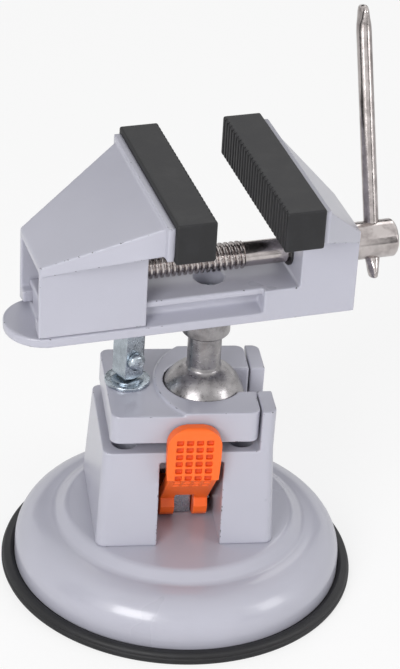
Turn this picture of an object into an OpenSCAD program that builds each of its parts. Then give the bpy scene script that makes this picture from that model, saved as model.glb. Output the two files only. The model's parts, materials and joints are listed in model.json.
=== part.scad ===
// Suction base vise: rubber pad, cast dish and tower, clamped ball stud, screw-driven jaws.
// Millimetres. The origin is the middle of the pad on the bench, +Z is up, the suction lever
// stands towards -Y and the fixed jaw points towards +X. The head is drawn in its own frame,
// with its origin in the ball's centre and +X along the lead screw, and then put in its pose.

/* [Suction base] */
// Diameter of the rubber pad on the bench
pad_d = 125; // [118:1:135]
// Thickness of the pad's disc
pad_t = 3; // [2.5:0.1:4]
// Height of the pad's outer rim
pad_rim_h = 4.2; // [3.8:0.1:5]
// Width of the pad's outer rim
pad_rim_w = 4.4; // [3.6:0.1:5]
// Height of the dish from the pad to its flat top
dish_h = 20.8; // [19:0.1:24]
// Wall of the dish casting
dish_wall = 3; // [2.4:0.1:3.6]
// Diameter of the dish's flat top
plateau_d = 81; // [76:1:86]

/* [Tower] */
// Width of the tower's top along X
tower_w = 58.8; // [57:0.2:62]
// Depth of the tower's top along Y
tower_d = 45.5; // [44:0.5:50]
// Height of the tower above the dish
tower_h = 35.6; // [35:0.2:40]
// Width of the lever window
window_w = 22; // [21:0.5:24]
// Height of the lever window
window_h = 31.7; // [30:0.1:33]
// Diameter of the counterbores for the tower screws
tower_bore_d = 8.4; // [8:0.1:9]
// Width of the slot that lets the stud tip over
slot_w = 15; // [14:0.5:17]

/* [Suction lever] */
// Outer width of the lever's fork
fork_w = 16.6; // [15.6:0.2:17.4]
// Gap between the prongs of the fork
fork_gap = 6.8; // [6.6:0.1:7.6]
// Diameter of the lever pin
lever_pin_d = 3; // [2.5:0.1:3.6]
// Height of the lever pin above the dish
lever_pin_h = 3.2; // [3:0.1:4]
// Width of the paddle
paddle_w = 18.6; // [18.2:0.1:20.5]
// Thickness of the paddle
paddle_t = 4; // [3.4:0.1:4.4]
// Length of the paddle
paddle_l = 20.3; // [19.5:0.1:24]
// Diameter of the pull stud's shank
pull_shank_d = 6; // [5:0.5:6]
// Diameter of the steel plate bonded to the pad
pull_plate_d = 80; // [70:1:90]

/* [Ball clamp] */
// Diameter of the ball
ball_d = 30; // [29:0.2:31]
// Thickness of the clamp plate
plate_t = 11.7; // [11:0.1:12.5]
// Gap under the clamp plate
plate_gap = 3.9; // [3:0.1:5]
// Diameter of the clamp screw
clamp_screw_d = 6; // [5:0.5:7]
// Diameter of the clamp washer
clamp_washer_d = 15.8; // [14:0.2:18]
// Side of the clamp lever's square channel
channel_w = 7.8; // [7.4:0.1:8.4]
// Wall of the clamp lever's channel
channel_t = 1.3; // [1:0.1:1.6]
// Length of the clamp lever above its pin
channel_l = 14; // [12:0.5:15]

/* [Head] */
// Diameter of the stud's neck
neck_d = 11.7; // [10.5:0.1:12.5]
// Diameter of the collar under the bed
collar_d = 16.8; // [15:0.2:18]
// Height of the collar
collar_h = 9.2; // [8:0.1:10]
// Width of the bed
bed_w = 26.8; // [26:0.2:28]
// Length of the bed from the stud to its rounded end
bed_l = 70.4; // [68:0.2:74]
// Width of the rail's top
rail_w = 22.8; // [22:0.1:23.4]
// Diameter of the counterbore for the bed screw
bed_bore_d = 10.3; // [9.8:0.1:11]

/* [Jaws] */
// Width of the steel-grey jaw plates
jaw_plate_w = 65.2; // [62:0.2:70]
// Width of the rubber jaw pads
jaw_pad_w = 68.6; // [67.8:0.2:74]
// Height of the rubber jaw pads
jaw_pad_h = 14.4; // [14:0.1:16]
// Thickness of the rubber jaw pads
jaw_pad_t = 13.45; // [12.5:0.05:14.5]
// Opening between the pads in this pose
jaw_gap = 23.05; // [22:0.05:25]
// Number of grooves in a pad's gripping face
jaw_grooves = 26; // [12:1:30]

/* [Lead screw] */
// Outer diameter of the lead screw's thread
thread_d = 9.5; // [9:0.1:10]
// Pitch of the thread
thread_pitch = 2; // [2:1:3]
// Diameter of the plain shoulder
shoulder_d = 8.4; // [8:0.1:8.8]
// Diameter of the journal in the fixed jaw
journal_d = 7; // [6.4:0.1:7.4]
// Diameter of the hub
hub_d = 13; // [12:0.5:14]
// Length of the hub
hub_l = 17; // [15:0.5:18]
// Diameter of the tommy bar
bar_d = 5.2; // [4.8:0.1:5.6]
// Length of the tommy bar
bar_l = 93.4; // [85:0.2:100]

/* [Fits] */
// Play of a turning or sliding round fit, on the radius
run_fit = 0.08; // [0.03:0.01:0.1]
// Clearance between sliding castings
slide_gap = 0.3; // [0.2:0.05:0.35]
// Clearance of the ball in its seats
ball_gap = 0.3; // [0.25:0.05:0.4]

/* [Hidden] */
$fn = 96;

lavender = "#bebecb";
rubber_black = "#3c3c41";
orange = "#ff7846";
nickel = "#c9c2b8";
zinc = "#9fa6ad";

over = 1;
edge = 0.6;
hull_fn = 32;

// Base heights and radii
pad_r = pad_d / 2;
rim_in_r = pad_r - pad_rim_w;
rim_play = 0.2;
dish_r = rim_in_r - rim_play;
plateau_r = plateau_d / 2;
base_top = pad_t + dish_h;
valley_drop = 3.6;
valley_z = base_top - valley_drop;
valley_rise = 3.2;
valley_flat = 0.8;
shoulder_r = dish_r - plateau_r - valley_rise - valley_flat;
shoulder_x = dish_r - shoulder_r;
shoulder_z = valley_z - shoulder_r;
shoulder_steps = 12;
boss_h = 8;
boss_z = base_top - dish_wall - boss_h;
stud_boss_wall = 6;
stud_boss_d = pull_shank_d + 2 * stud_boss_wall;

// Tower
tower_x = -1.1;
tower_y = 0.95;
tower_top = base_top + tower_h;
foot_flare_x = 1.5;
foot_flare_y = 3.9;
foot_lip = 1.2;
corner_r = 3.2;
cavity_back_y = 8;
cavity_h = 25.2;
window_front_y = -16;
ear_t = 5.1;
tower_left = tower_x - tower_w / 2;
tower_right = tower_x + tower_w / 2;
tower_front = tower_y - tower_d / 2;
tower_back = tower_y + tower_d / 2;
screw_in_left = 7.9;
screw_in_right = 10.7;
screw_in_front = 7.3;
screw_in_back = 8.2;
tower_screw_x = [tower_left + screw_in_left, tower_right - screw_in_right];
tower_screw_y = [tower_front + screw_in_front, tower_back - screw_in_back];
tower_screw_d = 4;
tower_screw_head_d = 7;
tower_screw_head_h = 2.6;
tower_screw_floor = 8.2;
tower_screw_hex = 3;
tower_boss_d = 9;

// Clamp
ball_r = ball_d / 2;
ball_x = 5.3;
ball_over_tower = 8.6;
ball_z = tower_top + ball_over_tower;
socket_r = ball_r + ball_gap;
plate_z = tower_top + plate_gap;
plate_top = plate_z + plate_t;
plate_inset = 2.2;
plate_play = 0.5;
plate_x0 = tower_left + plate_inset;
plate_x1 = tower_right - ear_t - plate_play;
plate_step = 1;
crease_r = 32;
crease_x = 20.5;
clamp_in = 7.6;
clamp_xy = [plate_x0 + clamp_in, 2];
clamp_turn = 29.4;
clamp_washer_t = 1.4;
clamp_seat = plate_top - plate_step;
flange_d = 11.6;
flange_z = clamp_seat + clamp_washer_t;
flange_t = 0.8;
clamp_pin_h = 7.8;
clamp_pin_z = flange_z + flange_t + clamp_pin_h;
clamp_pin_d = 3;
clamp_pin_head_d = 6.3;
clamp_pin_head_t = 2.6;
clamp_pin_round = 0.5;
channel_foot_r = clamp_pin_z - flange_z - flange_t - slide_gap;
tang_half = channel_w / 2 - channel_t - slide_gap;
clamp_shank_l = 34;
clamp_hole_l = 26;

// Suction lever, seen from the side: cam foot around the pin, leaning arm, upright paddle
lever_z = base_top + lever_pin_h;
lever_pin_r = lever_pin_d / 2;
cam_rise = 0.1;
cam_turn = 60;
cam_steps = 12;
cam_slope = cam_rise * 180 / PI;
foot_back = 4.2;
foot_gap = 0.3;
prong_top = 7.6;
arm_root_y = -5.6;
toe_y = -11.2;
toe_z = 3;
neck_y = -9.9;
neck_z = 6;
arm_back_y = -8.6;
arm_back_z = 10.6;
fork_top = 9;
paddle_y = -22.8;
paddle_front = paddle_y - paddle_t;
paddle_z = 24.35;
paddle_top = paddle_z + paddle_l;
paddle_corner = 7;
paddle_taper = 8;
paddle_narrow = 0.4;
paddle_knee = 1.5;
paddle_round = 1.8;
paddle_round_steps = 6;
arm_lean = (paddle_front - neck_y) / (paddle_z - neck_z);
pocket_pitch = [3.4, 2.83];
pocket_size = [2.3, 2];
pocket_depth = 1.2;
pocket_cols = 4;
pocket_rows = 8;
pocket_margin = 5.3;
pocket_top = paddle_top - pocket_margin;
pin_out = 2.5;

// Pull stud
fork_play = 0.4;
stud_head_w = fork_gap - 2 * fork_play;
stud_head_d = 10.6;
stud_head_z = base_top + slide_gap;
stud_head_over = 5;
stud_head_top = lever_z + stud_head_over;
pull_plate_t = 1.5;

// Head frame and the pose in the picture
head_lean = 2.586;
head_tip = -1.028;
head_turn = 9.98;
collar_z = 28;
bed_z = collar_z + collar_h;
spigot_d = 10;
spigot_h = 1.6;
bed_screw_d = 6;
bed_screw_play = 0.65;
bed_screw_head_d = bed_bore_d - 2 * bed_screw_play;
bed_screw_head_h = 2.6;
bed_screw_hex = 5;
bed_screw_l = 20;

// Bed
bed_half = bed_w / 2;
rail_half = rail_w / 2;
flange_h = 3.4;
flange_web_h = 4.8;
web_half = 7.2;
lip_h = 9.65;
lip_z = bed_z + lip_h;
rail_h = 12.1;
rail_top = bed_z + rail_h;
rail_left = -59;
body_left = 15.5;
body_right = 48.05;
fixed_face = 27.9;
bed_bore_floor_h = 3.8;
bed_bore_floor = bed_z + bed_bore_floor_h;

// Jaws
pad_gap_x = 13.46;
fixed_pad_x = pad_gap_x;
moving_pad_x = pad_gap_x - jaw_gap;
jaw_back_t = 2.3;
jaw_back_z = 77;
jaw_back_h = 12;
pad_z = 76.4;
pad_wall = 2.1;
pad_front_t = 3;
roof_low = 68.1;
roof_high = 88;
wing_half = 30;
fixed_wing_low = 63.7;
fixed_wing_high = 75.5;
moving_wing_low = 64.5;
moving_wing_high = 77.5;
moving_out = -61.9;
jaw_roof_t = 3.4;
nut_l = 13.9;
skirt_gap = 0.35;
web_play = 0.8;
lip_in = web_half + web_play;
groove_w = 0.9;
groove_deep = 0.8;

// Lead screw, on its axis
axis_z = 56.4;
thread_from = -56;
thread_to = 11.4;
thread_r = thread_d / 2;
depth_per_pitch = 0.55;
crest_per_pitch = 0.14;
thread_depth = depth_per_pitch * thread_pitch;
thread_crest = crest_per_pitch * thread_pitch;
plain_r = shoulder_d / 2;
journal_r = journal_d / 2;
washer_t = 1;
washer_lip = 1.2;
washer_r = plain_r + washer_lip;
hub_gap = 0.55;
hub_x = body_right + hub_gap;
bar_in_hub = 9.2;
bar_x = hub_x + bar_in_hub;
bar_angle = 19.7;
bar_up = 79.9;
bar_r = bar_d / 2;
bar_flat_l = 7;
bar_spread = 1.6;
bar_flat_w = bar_d + bar_spread;
bar_flat_t = 3.4;

function arc_points(centre, radius, from, to, steps) =
    [for (i = [0:steps])
        centre + radius * [cos(from + (to - from) * i / steps), sin(from + (to - from) * i / steps)]];

function cam_point(angle) =
    let (lift = lever_pin_h - foot_gap + cam_slope * angle * PI / 180)
    [-sin(angle), -cos(angle)] * lift + [-cos(angle), sin(angle)] * cam_slope;

module at_head() {
    translate([ball_x, 0, ball_z])
        rotate([head_lean, 0, 0])
            rotate([0, head_tip, 0])
                rotate([0, 0, head_turn])
                    children();
}

module at_clamp() {
    translate([clamp_xy[0], clamp_xy[1], 0])
        rotate([0, 0, clamp_turn])
            children();
}

module at_screw() {
    at_head()
        translate([0, 0, axis_z])
            rotate([0, 90, 0])
                children();
}

module rounded_block(x0, x1, y0, y1, h, r) {
    translate([x0 + r, y0, 0]) cube([x1 - x0 - 2 * r, y1 - y0, h]);
    translate([x0, y0 + r, 0]) cube([x1 - x0, y1 - y0 - 2 * r, h]);
    for (x = [x0 + r, x1 - r], y = [y0 + r, y1 - r])
        translate([x, y, 0]) cylinder(h = h, r = r);
}

// A profile in the Y-Z plane drawn out along X, w wide and centred
module side_extrude(w) {
    rotate([90, 0, 90])
        linear_extrude(height = w, center = true)
            children();
}

// A profile in the X-Z plane drawn out along Y, w wide and centred
module length_extrude(w) {
    rotate([90, 0, 0])
        linear_extrude(height = w, center = true)
            children();
}

module at_tower_screws() {
    for (x = tower_screw_x, y = tower_screw_y)
        translate([x, y, 0]) children();
}

module suction_pad() {
    color(rubber_black)
        rotate_extrude()
            polygon([[0, 0], [pad_r - edge, 0], [pad_r, edge], [pad_r, pad_rim_h - edge],
                [pad_r - edge, pad_rim_h], [rim_in_r + edge, pad_rim_h],
                [rim_in_r, pad_rim_h - edge], [rim_in_r, pad_t], [0, pad_t]]);
}

module dish_section() {
    centre = [shoulder_x, shoulder_z];
    difference() {
        polygon(concat(
            [[0, pad_t], [dish_r, pad_t]],
            arc_points(centre, shoulder_r, 0, 90, shoulder_steps),
            [[plateau_r + valley_rise, valley_z], [plateau_r + edge / 2, base_top - edge],
                [plateau_r - edge, base_top], [0, base_top]]));
        polygon(concat(
            [[0, pad_t - over], [dish_r - dish_wall, pad_t - over]],
            arc_points(centre, shoulder_r - dish_wall, 0, 90, shoulder_steps),
            [[plateau_r - edge, valley_z - dish_wall],
                [plateau_r - valley_rise, base_top - dish_wall], [0, base_top - dish_wall]]));
    }
}

module base_dish() {
    color(lavender)
        difference() {
            union() {
                rotate_extrude() dish_section();
                translate([0, 0, boss_z]) cylinder(h = boss_h + over, d = stud_boss_d);
                at_tower_screws()
                    translate([0, 0, boss_z]) cylinder(h = boss_h + over, d = tower_boss_d);
            }
            cylinder(h = base_top + over, r = pull_shank_d / 2 + run_fit);
            at_tower_screws() cylinder(h = base_top + over, d = tower_screw_d);
        }
}

module tower_blank() {
    half_w = tower_w / 2 - corner_r;
    half_d = tower_d / 2 - corner_r;
    translate([tower_x, tower_y, base_top])
        hull()
            for (sx = [-1, 1], sy = [-1, 1]) {
                translate([sx * (half_w + foot_flare_x), sy * (half_d + foot_flare_y), 0])
                    cylinder(h = foot_lip, r = corner_r, $fn = hull_fn);
                translate([sx * half_w, sy * half_d, tower_h - foot_lip])
                    cylinder(h = foot_lip, r = corner_r, $fn = hull_fn);
            }
}

module tower_ears() {
    intersection() {
        translate([tower_x, tower_y, tower_top - over])
            rounded_block(-tower_w / 2, tower_w / 2, -tower_d / 2, tower_d / 2,
                plate_top - tower_top + over, corner_r);
        translate([tower_x + tower_w / 2 - ear_t, -tower_d, base_top])
            cube([ear_t + over, 2 * tower_d, plate_top]);
    }
}

module tower() {
    color(lavender)
        difference() {
            union() {
                tower_blank();
                tower_ears();
            }
            translate([-window_w / 2, -tower_d, base_top - over])
                cube([window_w, tower_d + window_front_y, window_h + over]);
            translate([-window_w / 2, window_front_y - over, base_top - over])
                cube([window_w, cavity_back_y - window_front_y + over, cavity_h + over]);
            translate([ball_x, -slot_w / 2, tower_top + slide_gap])
                cube([tower_w, slot_w, plate_top]);
            translate([ball_x, 0, ball_z]) sphere(r = socket_r);
            at_tower_screws() {
                translate([0, 0, base_top + tower_screw_floor])
                    cylinder(h = tower_h, d = tower_bore_d);
                translate([0, 0, base_top - over])
                    cylinder(h = tower_h, d = tower_screw_d + 2 * run_fit);
            }
            translate([clamp_xy[0], clamp_xy[1], tower_top - clamp_hole_l])
                cylinder(h = clamp_hole_l + over, r = clamp_screw_d / 2 + run_fit);
        }
}

module tower_screws() {
    color(zinc)
        at_tower_screws()
            difference() {
                union() {
                    translate([0, 0, boss_z])
                        cylinder(h = base_top + tower_screw_floor - boss_z + over, d = tower_screw_d);
                    translate([0, 0, base_top + tower_screw_floor])
                        cylinder(h = tower_screw_head_h, d = tower_screw_head_d);
                }
                translate([0, 0, base_top + tower_screw_floor + edge])
                    cylinder(h = tower_screw_head_h, d = tower_screw_hex, $fn = 6);
            }
}

module pull_stud() {
    color(zinc)
        difference() {
            union() {
                translate([-stud_head_w / 2, -stud_head_d / 2, stud_head_z])
                    cube([stud_head_w, stud_head_d, stud_head_top - stud_head_z]);
                translate([0, 0, pad_t])
                    cylinder(h = stud_head_z - pad_t + over, d = pull_shank_d);
            }
            translate([-stud_head_w, 0, lever_z])
                rotate([0, 90, 0])
                    cylinder(h = 2 * stud_head_w, d = lever_pin_d);
        }
}

module pull_plate() {
    color(zinc)
        translate([0, 0, pad_t])
            difference() {
                cylinder(h = pull_plate_t, d = pull_plate_d);
                translate([0, 0, -over])
                    cylinder(h = pull_plate_t + 2 * over, d = pull_shank_d);
            }
}

module lever_pin() {
    color(zinc)
        translate([-fork_w / 2 - over, 0, lever_z])
            rotate([0, 90, 0])
                cylinder(h = fork_w + over + pin_out, d = lever_pin_d);
}

module lever_side() {
    polygon(concat(
        [[foot_back, prong_top - edge], [foot_back, foot_gap - lever_pin_h]],
        [for (i = [0:cam_steps]) cam_point(cam_turn * i / cam_steps)],
        [[toe_y, toe_z], [neck_y, neck_z], [paddle_front, paddle_z]],
        arc_points([paddle_front + paddle_round, paddle_top - paddle_round], paddle_round,
            180, 90, paddle_round_steps),
        [[paddle_y, paddle_top], [paddle_y, paddle_z + paddle_knee], [arm_back_y, arm_back_z],
            [arm_root_y, prong_top], [foot_back - edge, prong_top]]));
}

module paddle_outline() {
    half = paddle_w / 2;
    low_half = half - paddle_narrow;
    round_z = paddle_top - paddle_corner;
    translate([-fork_w / 2, -paddle_l]) square([fork_w, paddle_l + paddle_z + over]);
    polygon([[-low_half, paddle_z], [low_half, paddle_z], [half, paddle_z + paddle_taper],
        [half, round_z], [-half, round_z], [-half, paddle_z + paddle_taper]]);
    translate([-half + paddle_corner, round_z - over])
        square([paddle_w - 2 * paddle_corner, paddle_corner + over]);
    for (side = [-1, 1])
        translate([side * (half - paddle_corner), round_z]) circle(r = paddle_corner);
}

module lever_pockets() {
    for (col = [0:pocket_cols - 1], row = [0:pocket_rows - 1]) {
        x = (col - (pocket_cols - 1) / 2) * pocket_pitch[0];
        z = pocket_top - row * pocket_pitch[1];
        face = paddle_front + min(0, z - paddle_z) * arm_lean;
        translate([x - pocket_size[0] / 2, face - paddle_t, z - pocket_size[1] / 2])
            cube([pocket_size[0], paddle_t + pocket_depth, pocket_size[1]]);
    }
}

module suction_lever() {
    color(orange)
        translate([0, 0, lever_z])
            difference() {
                intersection() {
                    side_extrude(paddle_w + over) lever_side();
                    rotate([90, 0, 0])
                        linear_extrude(height = 2 * paddle_l + window_w, center = true)
                            paddle_outline();
                }
                translate([-fork_gap / 2, -paddle_l, -paddle_l])
                    cube([fork_gap, 2 * paddle_l, paddle_l + fork_top]);
                translate([-paddle_w, 0, 0])
                    rotate([0, 90, 0])
                        cylinder(h = 2 * paddle_w, r = lever_pin_r + run_fit);
                lever_pockets();
            }
}

module clamp_plate() {
    color(lavender)
        difference() {
            translate([0, tower_y, plate_z])
                rounded_block(plate_x0, plate_x1, -tower_d / 2, tower_d / 2, plate_t, corner_r);
            translate([ball_x, 0, ball_z]) sphere(r = socket_r);
            translate([ball_x, 0, plate_z - over])
                cylinder(h = ball_z - plate_z + over, r = socket_r);
            translate([ball_x, -slot_w / 2, plate_z - over])
                cube([tower_w, slot_w, plate_t + 2 * over]);
            translate([clamp_xy[0], clamp_xy[1], plate_z - over])
                cylinder(h = plate_t + 2 * over, r = clamp_screw_d / 2 + run_fit);
            difference() {
                translate([-tower_w, -tower_d, clamp_seat])
                    cube([tower_w + ball_x, 2 * tower_d, over + plate_step]);
                translate([crease_x, 0, plate_z])
                    cylinder(h = plate_t + 2 * over, r = crease_r);
            }
        }
}

module clamp_washer() {
    color(zinc)
        translate([clamp_xy[0], clamp_xy[1], clamp_seat])
            difference() {
                cylinder(h = clamp_washer_t, d = clamp_washer_d);
                translate([0, 0, -over])
                    cylinder(h = clamp_washer_t + 2 * over, r = clamp_screw_d / 2 + run_fit);
            }
}

module clamp_screw() {
    color(zinc)
        at_clamp()
            difference() {
                union() {
                    translate([0, 0, flange_z - clamp_shank_l])
                        cylinder(h = clamp_shank_l + over / 2, d = clamp_screw_d);
                    translate([0, 0, flange_z]) cylinder(h = flange_t, d = flange_d);
                    translate([-tang_half, -tang_half, flange_z])
                        cube([2 * tang_half, 2 * tang_half, clamp_pin_z - flange_z]);
                    translate([0, 0, clamp_pin_z])
                        rotate([90, 0, 0])
                            cylinder(h = 2 * tang_half, r = tang_half, center = true);
                }
                translate([0, 0, clamp_pin_z])
                    rotate([90, 0, 0])
                        cylinder(h = channel_w, d = clamp_pin_d, center = true);
            }
}

module clamp_lever_pin() {
    half = channel_w / 2;
    color(zinc)
        at_clamp()
            translate([0, 0, clamp_pin_z])
                rotate([90, 0, 0])
                    rotate_extrude()
                        polygon([[0, -half - edge], [clamp_pin_d / 2, -half - edge],
                            [clamp_pin_d / 2, half + run_fit], [clamp_pin_head_d / 2, half + run_fit],
                            [clamp_pin_head_d / 2 - clamp_pin_round, half + clamp_pin_head_t / 2],
                            [clamp_pin_head_d / 4, half + clamp_pin_head_t - clamp_pin_round / 2],
                            [0, half + clamp_pin_head_t]]);
}

module clamp_lever() {
    half = channel_w / 2;
    color(zinc)
        at_clamp()
            translate([0, 0, clamp_pin_z])
                difference() {
                    union() {
                        translate([-half, -half, 0]) cube([channel_w, channel_w, channel_l]);
                        intersection() {
                            translate([-half, -half, -channel_foot_r])
                                cube([channel_w, channel_w, channel_foot_r + over]);
                            rotate([90, 0, 0])
                                cylinder(h = channel_w + over, r = channel_foot_r, center = true);
                        }
                    }
                    translate([-half + channel_t, -half + channel_t, -channel_foot_r - over])
                        cube([channel_w, channel_w - 2 * channel_t, channel_foot_r + channel_l + 2 * over]);
                    rotate([90, 0, 0])
                        cylinder(h = 2 * channel_w, r = clamp_pin_d / 2 + run_fit, center = true);
                }
}

module ball_stud() {
    color(nickel)
        at_head()
            difference() {
                union() {
                    sphere(r = ball_r);
                    cylinder(h = bed_z, d = neck_d);
                    cylinder(h = bed_z + spigot_h, d = spigot_d);
                }
                translate([0, 0, bed_bore_floor - bed_screw_l])
                    cylinder(h = bed_screw_l, d = bed_screw_d);
            }
}

module stud_collar() {
    color(nickel)
        at_head()
            translate([0, 0, collar_z])
                difference() {
                    cylinder(h = collar_h, d = collar_d);
                    translate([0, 0, -over]) cylinder(h = collar_h + 2 * over, d = neck_d);
                }
}

module bed_screw() {
    color(zinc)
        at_head()
            translate([0, 0, bed_bore_floor])
                difference() {
                    union() {
                        translate([0, 0, -bed_screw_l])
                            cylinder(h = bed_screw_l + over, d = bed_screw_d);
                        cylinder(h = bed_screw_head_h, d = bed_screw_head_d);
                    }
                    translate([0, 0, edge])
                        cylinder(h = bed_screw_head_h, d = bed_screw_hex, $fn = 6);
                }
}

module rail_section() {
    polygon([[-bed_half, bed_z], [bed_half, bed_z], [bed_half, bed_z + flange_h],
        [web_half, bed_z + flange_web_h], [web_half, lip_z], [rail_half, lip_z],
        [rail_half, rail_top], [-rail_half, rail_top], [-rail_half, lip_z],
        [-web_half, lip_z], [-web_half, bed_z + flange_web_h], [-bed_half, bed_z + flange_h]]);
}

// The flared jaw: a sloping roof that spreads from the body to the jaw plate
module jaw_wedge(out_x, plate_x, wing_low, wing_high) {
    intersection() {
        translate([0, 0, bed_z])
            linear_extrude(height = roof_high)
                polygon([[out_x, -bed_half], [out_x, bed_half], [plate_x, wing_half], [plate_x, -wing_half]]);
        length_extrude(2 * wing_half)
            polygon([[out_x, wing_low], [out_x, roof_low], [plate_x, roof_high], [plate_x, wing_high]]);
    }
}

// The tongue of the jaw plate that the rubber pad is pushed over, and the plate behind it
module jaw_tongue(face_x, back_x) {
    back_to = back_x + sign(back_x - face_x) * jaw_back_t;
    tongue_from = face_x + sign(back_x - face_x) * pad_front_t;
    translate([min(back_x, back_to), -jaw_plate_w / 2, jaw_back_z])
        cube([jaw_back_t, jaw_plate_w, jaw_back_h]);
    translate([min(tongue_from, back_x), -jaw_pad_w / 2 + pad_wall, pad_z + pad_wall])
        cube([abs(back_x - tongue_from), jaw_pad_w - 2 * pad_wall, jaw_pad_h - 2 * pad_wall]);
}

module bed() {
    plate_x = fixed_pad_x + jaw_pad_t + jaw_back_t;
    color(lavender)
        at_head()
            difference() {
                union() {
                    intersection() {
                        union() {
                            translate([(rail_left + body_right) / 2, 0, 0])
                                side_extrude(body_right - rail_left) rail_section();
                            translate([-bed_l + bed_half, -bed_half, bed_z])
                                cube([bed_l - bed_half + body_right, bed_w, flange_h]);
                            translate([-bed_l + bed_half, 0, bed_z])
                                cylinder(h = flange_h, r = bed_half);
                        }
                        translate([-bed_l, -bed_half, bed_z])
                            cube([bed_l + body_right, bed_w, roof_high]);
                    }
                    translate([body_left, -bed_half, bed_z])
                        cube([body_right - body_left, bed_w, rail_top - bed_z]);
                    length_extrude(bed_w)
                        polygon([[fixed_face, rail_top - over], [body_right, rail_top - over],
                            [body_right, roof_low], [plate_x, roof_high], [fixed_face, roof_high]]);
                    jaw_wedge(body_right, plate_x - edge, fixed_wing_low, fixed_wing_high);
                    jaw_tongue(fixed_pad_x, fixed_pad_x + jaw_pad_t);
                }
                translate([0, 0, bed_bore_floor]) cylinder(h = rail_top, d = bed_bore_d);
                translate([0, 0, bed_z - over]) cylinder(h = spigot_h + 2 * over, r = spigot_d / 2 + run_fit);
                cylinder(h = rail_top, r = bed_screw_d / 2 + run_fit);
                translate([0, 0, axis_z])
                    rotate([0, 90, 0])
                        cylinder(h = body_right + over, r = journal_r + run_fit);
            }
}

// A rubber cap over a jaw tongue, with upright grooves in its gripping face
module jaw_pad(face_x, back_x) {
    dir = sign(back_x - face_x);
    pitch = jaw_pad_w / (jaw_grooves + 1);
    color(rubber_black)
        at_head()
            difference() {
                translate([min(face_x, back_x), -jaw_pad_w / 2, pad_z])
                    cube([abs(back_x - face_x), jaw_pad_w, jaw_pad_h]);
                translate([min(face_x + dir * pad_front_t, back_x + dir * over),
                    -jaw_pad_w / 2 + pad_wall, pad_z + pad_wall])
                    cube([abs(back_x - face_x) - pad_front_t + over, jaw_pad_w - 2 * pad_wall,
                        jaw_pad_h - 2 * pad_wall]);
                for (i = [1:jaw_grooves])
                    translate([face_x - groove_deep, -jaw_pad_w / 2 + i * pitch - groove_w / 2, pad_z - over])
                        cube([2 * groove_deep, groove_w, jaw_pad_h + 2 * over]);
            }
}

module fixed_jaw_pad() {
    jaw_pad(fixed_pad_x, fixed_pad_x + jaw_pad_t);
}

module moving_jaw_pad() {
    jaw_pad(moving_pad_x, moving_pad_x - jaw_pad_t);
}

module moving_jaw() {
    back_x = moving_pad_x - jaw_pad_t;
    plate_x = back_x - jaw_back_t;
    skirt_z = bed_z + flange_h + skirt_gap;
    inner = rail_half + slide_gap;
    lip_top = lip_z - skirt_gap;
    lip_low = bed_z + flange_web_h + skirt_gap;
    color(lavender)
        at_head()
            difference() {
                union() {
                    length_extrude(bed_w)
                        polygon([[moving_out, skirt_z], [moving_out, roof_low], [plate_x, roof_high], [plate_x, skirt_z]]);
                    jaw_wedge(moving_out, plate_x + edge, moving_wing_low, moving_wing_high);
                    jaw_tongue(moving_pad_x, back_x);
                }
                translate([(moving_out + plate_x) / 2, 0, 0])
                    side_extrude(plate_x - moving_out + 2 * over)
                        polygon([[-inner, rail_top + skirt_gap], [-inner, lip_top], [-lip_in, lip_top],
                            [-lip_in, lip_low], [-bed_half - over, skirt_z], [-bed_half - over, bed_z],
                            [bed_half + over, bed_z], [bed_half + over, skirt_z], [lip_in, lip_low],
                            [lip_in, lip_top], [inner, lip_top], [inner, rail_top + skirt_gap]]);
                intersection() {
                    length_extrude(2 * inner)
                        polygon([[moving_out - over, rail_top], [moving_out - over, roof_low - jaw_roof_t],
                            [plate_x, roof_high - jaw_roof_t], [plate_x, rail_top]]);
                    translate([moving_out - over, -inner, rail_top])
                        cube([plate_x - nut_l - moving_out + over, 2 * inner, roof_high]);
                }
                translate([moving_out - over, 0, axis_z])
                    rotate([0, 90, 0])
                        cylinder(h = plate_x - moving_out + jaw_pad_t, r = thread_r + run_fit);
            }
}

module thread_section() {
    turns = floor((thread_to - thread_from) / thread_pitch);
    root = thread_r - thread_depth;
    polygon(concat(
        [[0, thread_from], [root, thread_from]],
        [for (i = [0:turns - 1])
            each [[root, thread_from + i * thread_pitch],
                [thread_r, thread_from + (i + 0.5) * thread_pitch - thread_crest],
                [thread_r, thread_from + (i + 0.5) * thread_pitch + thread_crest]]],
        [[root, thread_from + turns * thread_pitch], [root, thread_to], [0, thread_to]]));
}

module lead_screw() {
    color(nickel)
        difference() {
            at_screw()
                union() {
                    rotate_extrude() thread_section();
                    translate([0, 0, thread_to - edge])
                        cylinder(h = fixed_face - washer_t - thread_to + edge, r = plain_r);
                    cylinder(h = hub_x + hub_l - edge, r = journal_r);
                }
            at_bar()
                cylinder(h = 2 * hub_d, r = bar_r + run_fit, center = true);
        }
}

module thrust_washer() {
    color(zinc)
        at_screw()
            translate([0, 0, fixed_face - washer_t])
                difference() {
                    cylinder(h = washer_t, r = washer_r);
                    translate([0, 0, -over]) cylinder(h = washer_t + 2 * over, r = journal_r);
                }
}

module at_bar() {
    at_head()
        translate([bar_x, 0, axis_z])
            rotate([-bar_angle, 0, 0])
                children();
}

module screw_hub() {
    color(nickel)
        difference() {
            at_screw()
                translate([0, 0, hub_x])
                    difference() {
                        rotate_extrude()
                            polygon([[0, 0], [hub_d / 2 - edge, 0], [hub_d / 2, edge],
                                [hub_d / 2, hub_l - edge], [hub_d / 2 - edge, hub_l], [0, hub_l]]);
                        translate([0, 0, -over]) cylinder(h = hub_l + over - edge, r = journal_r);
                    }
            at_bar()
                cylinder(h = 2 * hub_d, r = bar_r + run_fit, center = true);
        }
}

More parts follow.
